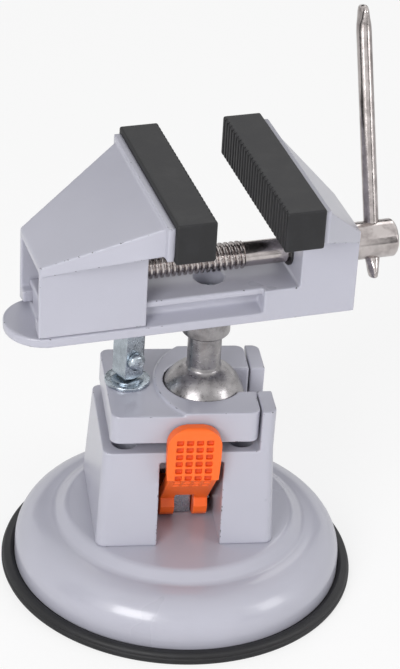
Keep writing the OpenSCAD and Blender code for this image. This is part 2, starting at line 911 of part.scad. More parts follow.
module tommy_bar() {
    down = bar_l - bar_up;
    color(nickel)
        at_bar() {
            translate([0, 0, -down + bar_flat_l / 2])
                cylinder(h = bar_l - bar_flat_l, r = bar_r);
            for (z = [-down, bar_up - bar_flat_l])
                intersection() {
                    translate([-bar_flat_t / 2, -bar_flat_w / 2, z])
                        cube([bar_flat_t, bar_flat_w, bar_flat_l]);
                    translate([0, 0, z]) cylinder(h = bar_flat_l, r = bar_flat_w / 2);
                }
        }
}

suction_pad();
base_dish();
tower();
tower_screws();
pull_stud();
pull_plate();
lever_pin();
suction_lever();
clamp_plate();
clamp_washer();
clamp_screw();
clamp_lever_pin();
clamp_lever();
ball_stud();
stud_collar();
bed_screw();
bed();
fixed_jaw_pad();
moving_jaw();
moving_jaw_pad();
lead_screw();
thrust_washer();
screw_hub();
tommy_bar();
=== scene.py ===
"""Looks of the suction base vise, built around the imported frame.

Each sub-assembly of the vise is a class that holds its sizes in millimetres, builds its skins and
hands them to the body that they move with. Each finish is a frozen dataclass that makes one
material. Lengths in the classes are millimetres; meshes are in metres.
"""
import json
import logging
import math
from dataclasses import dataclass
from enum import Enum
from typing import Sequence

import bmesh
import bpy
import numpy as np
from mathutils import Matrix, Vector


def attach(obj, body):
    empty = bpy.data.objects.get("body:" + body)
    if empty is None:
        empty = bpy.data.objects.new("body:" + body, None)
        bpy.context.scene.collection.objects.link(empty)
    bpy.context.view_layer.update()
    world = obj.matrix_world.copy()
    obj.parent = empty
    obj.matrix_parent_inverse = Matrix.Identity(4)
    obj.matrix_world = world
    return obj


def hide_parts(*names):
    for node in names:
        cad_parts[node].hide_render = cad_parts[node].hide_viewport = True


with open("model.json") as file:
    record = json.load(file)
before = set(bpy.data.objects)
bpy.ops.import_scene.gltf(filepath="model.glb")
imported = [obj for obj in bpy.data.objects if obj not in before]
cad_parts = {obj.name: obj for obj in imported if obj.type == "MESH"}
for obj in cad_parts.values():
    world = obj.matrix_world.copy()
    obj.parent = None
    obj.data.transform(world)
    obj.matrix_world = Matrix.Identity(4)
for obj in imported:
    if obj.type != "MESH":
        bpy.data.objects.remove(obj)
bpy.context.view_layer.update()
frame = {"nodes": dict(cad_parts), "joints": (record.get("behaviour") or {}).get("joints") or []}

LOG = logging.getLogger("suction_base_vise")
# One millimetre, and how near to each other points are joined, in metres
MM = 0.001
WELD = 2e-6
# How near to a plane a point counts as lying on it, in millimetres
NEAR = 0.05
# The angle from which an edge shows as sharp
SHARP = math.radians(42)
# Half the angle in a corner from which it is too straight for a fillet, in radians
STRAIGHT = 1.54
# The share of a side that the fillets at its two ends may take together
FILLET_ROOM = 0.98
# The values between which nearly all of a noise pattern lies
NOISE_LOW, NOISE_HIGH = 0.3, 0.7
HERE = Matrix.Identity(4)
Point = tuple[float, float]
Corner = tuple[float, float, float]
Colour = tuple[float, float, float, float]


class Slot(Enum):
    """The record's material slots."""

    ENAMEL = "lavender_paint"
    RUBBER = "black_rubber"
    ABS = "orange_plastic"
    NICKEL = "nickel"
    ZINC = "zinc"
    BLACK_STEEL = "black_steel"


class Relief(Enum):
    """How a plated piece was worked before, with the height in millimetres of what that leaves."""

    POLISHED = 0.002
    TURNED = 0.004
    CAST = 0.02


# ---------------------------------------------------------------- nodes and colours


def linear(hex_colour: str) -> Colour:
    """Turns an sRGB hex colour into linear values.

    Args:
        hex_colour: A # and six hex digits.

    Returns:
        Linear red, green and blue, and an alpha of 1.
    """
    digits = hex_colour.lstrip("#")
    shares = [int(digits[i:i + 2], 16) / 255 for i in (0, 2, 4)]
    red, green, blue = [s / 12.92 if s <= 0.04045 else ((s + 0.055) / 1.055) ** 2.4 for s in shares]
    return red, green, blue, 1.0


def per_mm(size: float) -> float:
    """Gives the texture scale whose features are about that many millimetres apart."""
    return 1 / (size * MM)


def add_node(tree: bpy.types.NodeTree, kind: str, inputs: dict | None = None,
             **settings: object) -> bpy.types.Node:
    """Adds a node with its settings, values and links.

    Args:
        tree: The node tree of a material or of the world.
        kind: The node's type name.
        inputs: A value or an output socket for each input, by its name or number.
        settings: The node's own properties.

    Returns:
        The new node.
    """
    node = tree.nodes.new(kind)
    for name, value in settings.items():
        setattr(node, name, value)
    for key, value in (inputs or {}).items():
        if isinstance(value, bpy.types.NodeSocket):
            tree.links.new(value, node.inputs[key])
        else:
            node.inputs[key].default_value = value
    return node


def noise(tree: bpy.types.NodeTree, place: bpy.types.NodeSocket, size: float, detail: float,
          roughness: float = 0.5) -> bpy.types.NodeSocket:
    """Adds a cloudy pattern.

    Args:
        tree: The material's node tree.
        place: The piece's own coordinates.
        size: How far apart its features are, in millimetres.
        detail: How many finer patterns lie on it.
        roughness: How strong the finer ones are.

    Returns:
        The pattern's value.
    """
    inputs = {"Vector": place, "Scale": per_mm(size), "Detail": detail, "Roughness": roughness}
    return add_node(tree, "ShaderNodeTexNoise", inputs).outputs["Fac"]


def spread(tree: bpy.types.NodeTree, value: bpy.types.NodeSocket, low: float, high: float,
           to_low: float = 0.0, to_high: float = 1.0) -> bpy.types.NodeSocket:
    """Spreads the values between two limits over another range.

    Args:
        tree: The node tree of a material or of the world.
        value: The values.
        low: Their lower limit.
        high: Their upper limit.
        to_low: What the lower limit becomes.
        to_high: What the upper limit becomes.

    Returns:
        The new values.
    """
    inputs = {"Value": value, "From Min": low, "From Max": high, "To Min": to_low, "To Max": to_high}
    return add_node(tree, "ShaderNodeMapRange", inputs).outputs["Result"]


def vary(tree: bpy.types.NodeTree, cloud: bpy.types.NodeSocket, low: float,
         high: float) -> bpy.types.NodeSocket:
    """Gives values that follow a cloudy pattern from one limit to another."""
    return spread(tree, cloud, NOISE_LOW, NOISE_HIGH, low, high)


def blend(tree: bpy.types.NodeTree, share: bpy.types.NodeSocket, first: bpy.types.NodeSocket | Colour,
          second: bpy.types.NodeSocket | Colour) -> bpy.types.NodeSocket:
    """Mixes two colours.

    Args:
        tree: The material's node tree.
        share: The share of the second colour.
        first: The first colour.
        second: The second colour.

    Returns:
        The mixed colour.
    """
    return add_node(tree, "ShaderNodeMix", {0: share, 6: first, 7: second}, data_type="RGBA").outputs[2]


def emboss(tree: bpy.types.NodeTree, height: bpy.types.NodeSocket, high: float,
           strength: float = 1.0) -> bpy.types.NodeSocket:
    """Makes a pattern stand out.

    Args:
        tree: The material's node tree.
        height: The pattern.
        high: The height of the relief, in millimetres.
        strength: How much of it shows.

    Returns:
        The surface's direction.
    """
    inputs = {"Strength": strength, "Distance": high * MM, "Height": height}
    return add_node(tree, "ShaderNodeBump", inputs).outputs["Normal"]


# ---------------------------------------------------------------- finishes


@dataclass(frozen=True)
class Finish:
    """A surface finish, which makes one material.

    The pattern works in the piece's own coordinates, so it moves with the piece.
    """

    title: str
    colour: str
    roughness: float
    metallic: float = 0.0

    def pattern(self, tree: bpy.types.NodeTree, place: bpy.types.NodeSocket) -> dict:
        """Gives the shader's inputs.

        Args:
            tree: The material's node tree.
            place: The piece's own coordinates.

        Returns:
            A value or an output socket for each input of the shader.
        """
        return {"Base Color": linear(self.colour)}

    def material(self) -> bpy.types.Material:
        """Builds the material at its first use.

        Returns:
            The finish's material.
        """
        found = bpy.data.materials.get(self.title)
        if found:
            return found
        made = bpy.data.materials.new(self.title)
        made.use_nodes = True
        tree = made.node_tree
        tree.nodes.clear()
        place = add_node(tree, "ShaderNodeTexCoord").outputs["Object"]
        inputs = {"Metallic": self.metallic, "Roughness": self.roughness, **self.pattern(tree, place)}
        shader = add_node(tree, "ShaderNodeBsdfPrincipled", inputs)
        add_node(tree, "ShaderNodeOutputMaterial", {"Surface": shader.outputs["BSDF"]})
        return made


@dataclass(frozen=True)
class StovedEnamel(Finish):
    """Lavender-grey enamel, sprayed on a die casting and baked.

    To the eye it is a smooth satin gloss with a faint orange peel, a few dust nibs, and small dark
    chips along the edges that knock against the work.
    """

    chip_colour: str = "#57575c"
    cloud: float = 28.0
    peel: float = 1.7
    nib: float = 0.8
    nib_share: float = 1.4
    chip: float = 1.9
    bare_from: float = 0.6
    bare_to: float = 0.62
    high: float = 0.014
    coat: float = 0.4
    coat_roughness: float = 0.09

    def pattern(self, tree: bpy.types.NodeTree, place: bpy.types.NodeSocket) -> dict:
        """Gives the enamel's colour, chips and orange peel.

        Args:
            tree: The material's node tree.
            place: The piece's own coordinates.

        Returns:
            The shader's inputs.
        """
        cloud = noise(tree, place, self.cloud, 2.0)
        tone = add_node(tree, "ShaderNodeHueSaturation", {
            "Color": linear(self.colour), "Value": vary(tree, cloud, 0.975, 1.02)})
        edge = add_node(tree, "ShaderNodeAttribute", attribute_name="edge")
        flake = noise(tree, place, self.chip, 3.0, 0.6)
        worn = add_node(tree, "ShaderNodeMath", {0: edge.outputs["Fac"], 1: flake}, operation="MULTIPLY")
        bare = spread(tree, worn.outputs["Value"], self.bare_from, self.bare_to)
        grit = spread(tree, noise(tree, place, self.nib, 0.0), 0.76, 0.84)
        peel = noise(tree, place, self.peel, 1.0, 0.4)
        height = add_node(tree, "ShaderNodeMath", {0: grit, 1: self.nib_share, 2: peel},
                          operation="MULTIPLY_ADD")
        return {"Base Color": blend(tree, bare, tone.outputs["Color"], linear(self.chip_colour)),
                "Roughness": vary(tree, cloud, self.roughness - 0.03, self.roughness + 0.04),
                "Normal": emboss(tree, height.outputs["Value"], self.high),
                "Coat Weight": self.coat, "Coat Roughness": self.coat_roughness}


@dataclass(frozen=True)
class MouldedRubber(Finish):
    """Black nitrile rubber, pressed in a mould.

    To the eye it is dull and close to black, with a fine grain and a trace of grey dust.
    """

    dust: str = "#2b2b2f"
    film: float = 7.0
    grain: float = 0.45
    high: float = 0.03

    def pattern(self, tree: bpy.types.NodeTree, place: bpy.types.NodeSocket) -> dict:
        """Gives the rubber's dusty black and its grain.

        Args:
            tree: The material's node tree.
            place: The piece's own coordinates.

        Returns:
            The shader's inputs.
        """
        film = noise(tree, place, self.film, 5.0, 0.62)
        share = spread(tree, film, 0.45, 0.75, to_high=0.4)
        return {"Base Color": blend(tree, share, linear(self.colour), linear(self.dust)),
                "Roughness": vary(tree, film, self.roughness - 0.05, self.roughness + 0.06),
                "Normal": emboss(tree, noise(tree, place, self.grain, 2.0), self.high, 0.8)}


@dataclass(frozen=True)
class MouldedAbs(Finish):
    """Orange ABS, injection moulded in a lightly blasted mould.

    To the eye it is a strong even orange with a soft sheen. Its pockets are darkened with painted shade,
    found by ambient occlusion, to stand in for the shade that falls in them.
    """

    # Colour of the painted shade in the pockets, and how far the occlusion looks for walls, in millimetres
    pocket_painted_shade: str = "#d23e0c"
    pocket_deep: float = 1.8
    flow: float = 9.0
    texture: float = 0.6
    high: float = 0.012

    def pattern(self, tree: bpy.types.NodeTree, place: bpy.types.NodeSocket) -> dict:
        """Gives the plastic's colour, the painted shade in its pockets and its fine mould texture.

        Args:
            tree: The material's node tree.
            place: The piece's own coordinates.

        Returns:
            The shader's inputs.
        """
        flow = noise(tree, place, self.flow, 2.0)
        # Painted shade: where ambient occlusion finds pocket walls close, the orange turns to the darker
        # painted-shade colour
        occlusion_for_painted_shade = add_node(tree, "ShaderNodeAmbientOcclusion", {"Distance": self.pocket_deep * MM})
        share = spread(tree, occlusion_for_painted_shade.outputs["AO"], 0.4, 0.9)
        depth = blend(tree, share, linear(self.pocket_painted_shade), linear(self.colour))
        tone = add_node(tree, "ShaderNodeHueSaturation", {
            "Color": depth, "Value": vary(tree, flow, 0.96, 1.03)})
        return {"Base Color": tone.outputs["Color"],
                "Roughness": vary(tree, flow, self.roughness - 0.03, self.roughness + 0.05),
                "Normal": emboss(tree, noise(tree, place, self.texture, 2.0), self.high, 0.8)}


@dataclass(frozen=True)
class Plating(Finish):
    """Plated steel.

    To the eye it is a bright metal whose smoothness is that of the steel below: polished, with
    fine turning rings, or with the speckle of a cast and tumbled blank.
    """

    metallic: float = 1.0
    shade: str = "#8d8d90"
    relief: Relief = Relief.POLISHED
    cloud: float = 5.0
    speckle: float = 1.1

    def pattern(self, tree: bpy.types.NodeTree, place: bpy.types.NodeSocket) -> dict:
        """Gives the plating's colour, gloss and relief.

        Args:
            tree: The material's node tree.
            place: The piece's own coordinates.

        Returns:
            The shader's inputs.
        """
        share = spread(tree, noise(tree, place, self.cloud, 4.0, 0.6), 0.42, 0.72, to_high=0.6)
        fine = noise(tree, place, self.speckle, 3.0, 0.6)
        return {"Base Color": blend(tree, share, linear(self.colour), linear(self.shade)),
                "Roughness": vary(tree, fine, self.roughness * 0.8, self.roughness * 1.3),
                "Normal": emboss(tree, fine, self.relief.value)}


# A pale lavender-grey satin gloss, chipped dark along the edges
ENAMEL = StovedEnamel("stoved_enamel_lavender_grey", "#b3b3bf", 0.3)
# Dull and near black, with a trace of dust
RUBBER = MouldedRubber("nitrile_rubber_moulded_black", "#101013", 0.55)
# A strong even orange with a soft sheen, and painted shade in its pockets
ABS = MouldedAbs("abs_moulded_orange", "#fa6a1e", 0.4)
# A bright, slightly warm metal with sharp reflections
NICKEL = Plating("nickel_plate_on_turned_steel", "#c6bfbd", 0.19, shade="#6c6361", relief=Relief.TURNED)
# A greyer metal with soft, speckled reflections
SATIN_NICKEL = Plating("nickel_plate_on_cast_steel", "#a3a0a1", 0.3, shade="#4f4c4e", relief=Relief.CAST)
# A cool bluish metal, half bright
ZINC = Plating("zinc_plate_on_pressed_steel", "#b7c0c8", 0.27, shade="#7e858c")
# A dark grey metal with a dull gleam
BLACK_STEEL = Plating("blackened_steel_washer", "#4b4a4a", 0.4, shade="#2a2a2b")


# ---------------------------------------------------------------- mesh making


def place_piece(name: str, mesh: bpy.types.Mesh, to: Matrix = HERE) -> bpy.types.Object:
    """Puts a mesh in the scene as a piece, smooth up to its sharp edges.

    Args:
        name: The piece's name.
        mesh: Its mesh.
        to: The frame that the mesh is drawn in, seen from the row frame.

    Returns:
        The piece, with its own frame at the origin.
    """
    mesh.transform(to)
    mesh.name = name
    mesh.shade_smooth()
    piece = bpy.data.objects.new(name, mesh)
    bpy.context.scene.collection.objects.link(piece)
    return piece


def skin(name: str, rings: np.ndarray, to: Matrix = HERE, wrap: bool = False) -> bpy.types.Object:
    """Joins rings of points into a closed skin.

    Args:
        name: The piece's name.
        rings: Points in millimetres, of shape rings, points, 3.
        to: The frame that they are drawn in.
        wrap: The last ring joins the first one, and otherwise the ends are capped.

    Returns:
        The piece.
    """
    count, sides = rings.shape[:2]
    work = bmesh.new()
    grid = [[work.verts.new(p * MM) for p in ring] for ring in rings]
    for i in range(count if wrap else count - 1):
        low, high = grid[i], grid[(i + 1) % count]
        for k in range(sides):
            n = (k + 1) % sides
            work.faces.new((low[k], low[n], high[n], high[k]))
    if not wrap:
        work.faces.new(grid[0][::-1])
        work.faces.new(grid[-1])
    bmesh.ops.remove_doubles(work, verts=work.verts, dist=WELD)
    bmesh.ops.dissolve_degenerate(work, edges=work.edges, dist=WELD)
    bmesh.ops.recalc_face_normals(work, faces=work.faces)
    mesh = bpy.data.meshes.new(name)
    work.to_mesh(mesh)
    work.free()
    piece = place_piece(name, mesh, to)
    mesh.set_sharp_from_angle(angle=SHARP)
    return piece


def rounded(corners: Sequence[Corner], closed: bool = False, steps: int = 5) -> list[Point]:
    """Rounds the corners of a line.

    Args:
        corners: Radius from the axis, height and fillet of each corner.
        closed: The line returns to its start.
        steps: Straight pieces of each fillet.

    Returns:
        The points of the rounded line.
    """
    places = [Vector(corner[:2]) for corner in corners]
    count = len(places)
    halves, reaches = [], []
    for i, here in enumerate(places):
        half = (places[i - 1] - here).angle(places[(i + 1) % count] - here) / 2
        plain = half > STRAIGHT or not closed and i in (0, count - 1)
        halves.append(half)
        reaches.append(0 if plain else corners[i][2] / math.tan(half))
    points: list[Point] = []
    for i, here in enumerate(places):
        sides = [(places[k] - here, reaches[k]) for k in (i - 1, (i + 1) % count)]
        if reaches[i] <= 0:
            points.append(tuple(here))
            continue
        reach = reaches[i] * min(1, *(FILLET_ROOM * way.length / (reaches[i] + other)
                                      for way, other in sides))
        radius = reach * math.tan(halves[i])
        before, after = (way.normalized() for way, other in sides)
        middle = here + (before + after).normalized() * radius / math.sin(halves[i])
        start, end = here + before * reach - middle, here + after * reach - middle
        for k in range(steps + 1):
            points.append(tuple(middle + start.slerp(end, k / steps) * radius))
    return points


def ring_points(wide: np.ndarray, deep: np.ndarray, heights: np.ndarray, sides: int) -> np.ndarray:
    """Sets out rings of points about the Z axis.

    Args:
        wide: Radius along X, of each ring or of each of its points.
        deep: Radius along Y, in the same way.
        heights: Height of each ring.
        sides: Points around.

    Returns:
        The points, of shape rings, points, 3.
    """
    angles = np.arange(sides) * 2 * math.pi / sides
    return np.stack([wide * np.cos(angles), deep * np.sin(angles),
                     np.repeat(heights[:, None], sides, axis=1)], axis=2)


def revolve(name: str, corners: Sequence[Corner], to: Matrix = HERE, sides: int = 96,
            closed: bool = False, steps: int = 5) -> bpy.types.Object:
    """Turns a rounded outline about the Z axis, as on a lathe.

    Args:
        name: The piece's name.
        corners: Radius, height and fillet of each corner of the outline.
        to: The frame that it is drawn in.
        sides: Points around.
        closed: The outline is a ring's own section, away from the axis.
        steps: Straight pieces of each fillet.

    Returns:
        The piece.
    """
    line = np.array(rounded(corners, closed, steps))
    radii = line[:, :1]
    return skin(name, ring_points(radii, radii, line[:, 1], sides), to, wrap=closed)


def block(low: Sequence[float], high: Sequence[float], bevel: float = 0.0) -> bpy.types.Mesh:
    """Makes a block with bevelled edges.

    Args:
        low: The lowest corner, in millimetres.
        high: The highest corner.
        bevel: Width of the bevel on every edge.

    Returns:
        The mesh.
    """
    work = bmesh.new()
    bmesh.ops.create_cube(work, size=1)
    for vert in work.verts:
        vert.co = Vector([(a + b) / 2 + (b - a) * c for a, b, c in zip(low, high, vert.co)]) * MM
    if bevel:
        bmesh.ops.bevel(work, geom=work.edges[:], offset=bevel * MM, segments=4, profile=0.5, affect="EDGES")
    mesh = bpy.data.meshes.new("block")
    work.to_mesh(mesh)
    work.free()
    return mesh


def join(meshes: Sequence[bpy.types.Mesh]) -> bpy.types.Mesh:
    """Puts several meshes in one, as separate shells.

    Args:
        meshes: The meshes, which are removed.

    Returns:
        The joined mesh.
    """
    work = bmesh.new()
    for mesh in meshes:
        work.from_mesh(mesh)
        bpy.data.meshes.remove(mesh)
    joined = bpy.data.meshes.new("joined")
    work.to_mesh(joined)
    work.free()
    return joined


def settle(piece: bpy.types.Object) -> bpy.types.Mesh:
    """Applies a piece's modifiers and removes the piece.

    Args:
        piece: An object that was only needed for its mesh.

    Returns:
        The mesh with its modifiers applied.
    """
    bpy.context.view_layer.update()
    graph = bpy.context.evaluated_depsgraph_get()
    mesh = bpy.data.meshes.new_from_object(piece.evaluated_get(graph), depsgraph=graph)
    old = piece.data
    bpy.data.objects.remove(piece)
    bpy.data.meshes.remove(old)
    return mesh


def cut(mesh: bpy.types.Mesh, tool: bpy.types.Mesh) -> bpy.types.Mesh:
    """Cuts one mesh out of another.

    Args:
        mesh: What is cut.
        tool: What is taken away.

    Returns:
        What is left.
    """
    body, knife = place_piece("body", mesh), place_piece("knife", tool)
    change = body.modifiers.new("cut", "BOOLEAN")
    change.operation, change.object, change.solver = "DIFFERENCE", knife, "EXACT"
    left = settle(body)
    settle(knife)
    return left


def mark_edges(mesh: bpy.types.Mesh, radius: float) -> None:
    """Stores how much each point stands on an outer edge, for the chips in the enamel.

    Args:
        mesh: A mesh with rounded edges.
        radius: The edge radius, in millimetres, that counts as a full edge.
    """
    places = np.empty(len(mesh.vertices) * 3)
    normals = np.empty(len(mesh.vertices) * 3)
    ends = np.empty(len(mesh.edges) * 2, int)
    mesh.vertices.foreach_get("co", places)
    mesh.vertices.foreach_get("normal", normals)
    mesh.edges.foreach_get("vertices", ends)
    places, normals, ends = places.reshape(-1, 3), normals.reshape(-1, 3), ends.reshape(-1, 2)
    step = places[ends[:, 1]] - places[ends[:, 0]]
    opening = ((normals[ends[:, 1]] - normals[ends[:, 0]]) * step).sum(1)
    bend = opening / np.maximum((step ** 2).sum(1), 1e-12)
    total, number = np.zeros(len(places)), np.zeros(len(places))
    for side in (0, 1):
        np.add.at(total, ends[:, side], bend)
        np.add.at(number, ends[:, side], 1)
    edge = np.clip(total / np.maximum(number, 1) * radius * MM * 2, 0, 1)
    mesh.attributes.new("edge", "FLOAT", "POINT").data.foreach_set("value", edge)


@dataclass(frozen=True)
class Mould:
    """How a plain solid becomes a cast or moulded skin, with soft edges and fillets.

    The solid is remeshed in small cubes of the voxel size, smoothed in so many passes, and thinned
    out where it is flat, until that share of its faces is kept. The edge is the radius from which
    an edge counts as full for the chips in the enamel.
    """

    voxel: float
    passes: int
    keep: float
    edge: float = 1.0

    def form(self, name: str, mesh: bpy.types.Mesh, to: Matrix = HERE) -> bpy.types.Object:
        """Makes the skin.

        Args:
            name: The piece's name.
            mesh: The plain solid, drawn in the frame to.
            to: The frame whose axes the solid's faces follow.

        Returns:
            The piece.
        """
        work = place_piece("blank", mesh)
        coarse = 1
        remesh = work.modifiers.new("voxels", "REMESH")
        remesh.mode, remesh.voxel_size = "VOXEL", self.voxel * coarse * MM
        smooth = work.modifiers.new("fillets", "SMOOTH")
        smooth.factor, smooth.iterations = 0.5, self.passes // coarse
        thin = work.modifiers.new("thin", "DECIMATE")
        thin.ratio = min(1, self.keep * coarse)
        made = settle(work)
        mark_edges(made, self.edge)
        piece = place_piece(name, made, to)
        weights = piece.modifiers.new("even_normals", "WEIGHTED_NORMAL")
        weights.mode, weights.weight = "FACE_AREA", 60
        return piece

    def copy(self, name: str, node: str, to: Matrix = HERE) -> bpy.types.Object:
        """Makes the skin of a CAD node.

        Args:
            name: The piece's name.
            node: The CAD node.
            to: The frame whose axes the node's faces follow.

        Returns:
            The piece.
        """
        return self.form(name, plain_copy(node, to), to)


# Finer cubes keep thinner walls, and more passes give softer edges
TOWER_CASTING = Mould(0.36, 5, 0.16)
PLATE_CASTING = Mould(0.34, 4, 0.16)
JAW_CASTING = Mould(0.36, 6, 0.2)
LEVER_MOULDING = Mould(0.2, 3, 0.22)
SHEET_CHANNEL = Mould(0.17, 4, 0.3)
RUBBER_CAP = Mould(0.24, 2, 0.35)


def plain_copy(node: str, to: Matrix = HERE) -> bpy.types.Mesh:
    """Copies a CAD node's mesh, with its split points joined.

    Args:
        node: The CAD node.
        to: The frame that the copy is drawn in.

    Returns:
        The mesh.
    """
    work = bmesh.new()
    work.from_mesh(frame["nodes"][node].data)
    bmesh.ops.remove_doubles(work, verts=work.verts, dist=WELD)
    mesh = bpy.data.meshes.new(node + "_copy")
    work.to_mesh(mesh)
    work.free()
    mesh.materials.clear()
    mesh.transform(to.inverted())
    return mesh


def fit(piece: bpy.types.Object, body: str, finish: Finish, slot: Slot, *nodes: str) -> None:
    """Dresses a new piece, puts it on its body and hides the nodes that it stands for.

    Args:
        piece: The new piece, in place.
        body: The CAD body that it moves with.
        finish: Its finish.
        slot: The record's material slot. Not used.
        nodes: The CAD nodes that it stands for.
    """
    piece.data.materials.clear()
    piece.data.materials.append(finish.material())
    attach(piece, body)
    if nodes:
        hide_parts(*nodes)
    LOG.info("%s on %s: %d faces, %s", piece.name, body, len(piece.data.polygons), finish.title)


def dress(node: str, finish: Finish, bevel: float = 0.25) -> None:
    """Keeps a CAD node, breaks its edges and gives it a finish.

    Args:
        node: The CAD node.
        finish: Its finish.
        bevel: Width of the broken edges, in millimetres.
    """
    kept = frame["nodes"][node]
    kept.data.materials.clear()
    kept.data.materials.append(finish.material())
    weld = kept.modifiers.new("weld", "WELD")
    weld.merge_threshold = WELD
    broken = kept.modifiers.new("broken_edges", "BEVEL")
    broken.width, broken.segments = bevel * MM, 2
    broken.limit_method, broken.angle_limit, broken.harden_normals = "ANGLE", SHARP, True
    LOG.info("%s keeps its node: %s", node, finish.title)


def joint(name: str) -> dict:
    """Finds a joint of the frame by its name."""
    return next(j for j in frame["joints"] if j["name"] == name)


def axes_at(origin: Vector, x: Vector, z: Vector) -> Matrix:
    """Makes a frame from its origin and two of its axes.

    Args:
        origin: Where it is, in metres.
        x: Its X axis.
        z: Its Z axis, square to X.

    Returns:
        The frame as a matrix.
    """
    made = Matrix((x, z.cross(x), z)).transposed().to_4x4()
    made.translation = origin
    return made


def head_frame() -> Matrix:
    """Gives the head's frame: its origin in the ball, X along the lead screw, Z along the stud."""
    return axes_at(Vector(joint("head_swivel")["pos_m"]), Vector(joint("screw_spin")["axis"]).normalized(),
                   Vector(joint("head_swivel")["axis"]).normalized())


def shift(x: float, y: float, z: float) -> Matrix:
    """Gives a move by millimetres."""
    return Matrix.Translation(Vector((x, y, z)) * MM)


def turn(degrees: float, axis: str) -> Matrix:
    """Gives a turn by degrees about an axis."""
    return Matrix.Rotation(math.radians(degrees), 4, axis)


# ---------------------------------------------------------------- sub-assemblies


@dataclass
class SuctionBase:
    """The rubber pad, the dish, the tower on it and the screws in the tower."""

    pad_radius: float = 62.5
    pad_thick: float = 3.0
    rim_high: float = 4.2
    rim_inner: float = 58.1
    dish_radius: float = 57.9
    wall: float = 3.0
    shoulder: float = 13.4
    valley_z: float = 20.2
    plateau_z: float = 23.8
    plateau_radius: float = 40.5
    bore: float = 3.08
    boss_radius: float = 9.0
    boss_rise: float = 10.0
    seat_gap: float = 0.01

    def pad(self) -> None:
        """Builds the pad, with a rounded rim and a thin moulded line around it."""
        r, z = self.pad_radius, self.rim_high
        corners = [(0, 0, 0), (r - 0.5, 0, 0.5), (r, 1.1, 0.5), (r, 2.2, 0.2), (r - 0.35, 2.45, 0.15),
                   (r - 0.2, z, 1.3), (self.rim_inner + 1.3, z, 0.8), (self.rim_inner + 0.25, z - 0.75, 0.4),
                   (self.rim_inner + 0.05, self.pad_thick, 0.1), (0, self.pad_thick, 0)]
        fit(revolve("suction_pad_rubber", corners, sides=192), "base", RUBBER, Slot.RUBBER, "suction_pad")

    def dish(self) -> None:
        """Builds the dish with its shoulder, valley and raised middle."""
        r, w, s = self.dish_radius, self.wall, self.shoulder
        bottom = self.pad_thick + self.seat_gap
        boss_low = bottom + self.boss_rise
        top = self.valley_z
        outer = [(self.bore, boss_low, 0.2), (self.bore, self.plateau_z, 0.5),
                 (self.plateau_radius - 0.3, self.plateau_z, 4.0), (self.plateau_radius + 3.6, top, 4.0),
                 (r, top, s), (r, bottom, 0.4)]
        inner = [(r - w, bottom, 0.4), (r - w, top - w, s - w), (self.plateau_radius + 1.5, top - w, 2.5),
                 (self.plateau_radius - 2.2, self.plateau_z - w, 2.5),
                 (self.boss_radius, self.plateau_z - w, 0.8), (self.boss_radius, boss_low, 0.4)]
        piece = revolve("dish_casting", outer + inner, sides=192, closed=True, steps=12)
        fit(piece, "base", ENAMEL, Slot.ENAMEL, "base_dish")

    def tower(self) -> None:
        """Builds the tower's casting and dresses its screws."""
        piece = TOWER_CASTING.copy("tower_casting", "tower")
        fit(piece, "base", ENAMEL, Slot.ENAMEL, "tower")
        dress("tower_screws", ZINC)

    def build(self) -> None:
        """Builds the whole base."""
        self.pad()
        self.dish()
        self.tower()


@dataclass
class SuctionLever:
    """The orange lever, its pin and the stud that it lifts."""

    pin_z: float = 27.0
    pin_radius: float = 1.5
    pin_from: float = -9.3
    pin_to: float = 10.8

    def build(self) -> None:
        """Builds the lever and its pin, and dresses the stud and its plate."""
        lever = LEVER_MOULDING.copy("suction_lever_moulding", "suction_lever")
        fit(lever, "suction_lever", ABS, Slot.ABS, "suction_lever")
        along = turn(90, "Y")
        a, b, r = self.pin_from, self.pin_to, self.pin_radius
        pin = revolve("lever_pin_steel", [(0, a, 0), (r, a, 0.3), (r, b, 0.4), (0, b, 0)],
                      shift(0, 0, self.pin_z) @ along, 40)
        fit(pin, "pull_stud", NICKEL, Slot.NICKEL, "lever_pin")
        dress("pull_stud", ZINC)
        dress("pull_plate", ZINC)


@dataclass
class BallClamp:
    """The plate that grips the ball, its screw, and the folding lever on the screw."""

    washer_radius: float = 7.9
    washer_bore: float = 3.08
    seat_z: float = 74.0
    washer_thick: float = 1.4
    pin_z: float = 84.0
    turned: float = 29.4
    rivet: float = 1.5
    rivet_head: float = 3.15
    rivet_tail: float = -4.5
    rivet_seat: float = 3.98
    rivet_top: float = 6.5

    def build(self) -> None:
        """Builds the plate, the washer, the lever and its pin, and dresses the screw."""
        plate = PLATE_CASTING.copy("clamp_plate_casting", "clamp_plate")
        fit(plate, "clamp_plate", ENAMEL, Slot.ENAMEL, "clamp_plate")
        x, y = [v / MM for v in joint("clamp_turn")["pos_m"][:2]]
        low, high = self.seat_z, self.seat_z + self.washer_thick
        r, b = self.washer_radius, self.washer_bore
        section = [(b, low, 0.1), (r, low, 0.2), (r, high, 0.4), (b, high, 0.3)]
        washer = revolve("clamp_washer_steel", section, shift(x, y, 0), 72, closed=True)
        fit(washer, "clamp_plate", ZINC, Slot.ZINC, "clamp_washer")
        dress("clamp_screw", ZINC)
        own = shift(x, y, self.pin_z) @ turn(self.turned, "Z")
        lever = SHEET_CHANNEL.copy("clamp_lever_channel", "clamp_lever", own)
        fit(lever, "clamp_lever", ZINC, Slot.ZINC, "clamp_lever")
        r, wide = self.rivet, self.rivet_head
        tail, seat, top = self.rivet_tail, self.rivet_seat, self.rivet_top
        outline = [(0, tail, 0), (r, tail, 0.3), (r, seat, 0), (wide, seat, 0.2),
                   (wide - 0.05, top - 0.9, 0.7), (wide - 0.95, top - 0.1, 0.7), (0, top, 0)]
        pin = revolve("clamp_lever_rivet", outline, own @ turn(90, "X"), 48)
        fit(pin, "clamp_screw", ZINC, Slot.ZINC, "clamp_lever_pin")


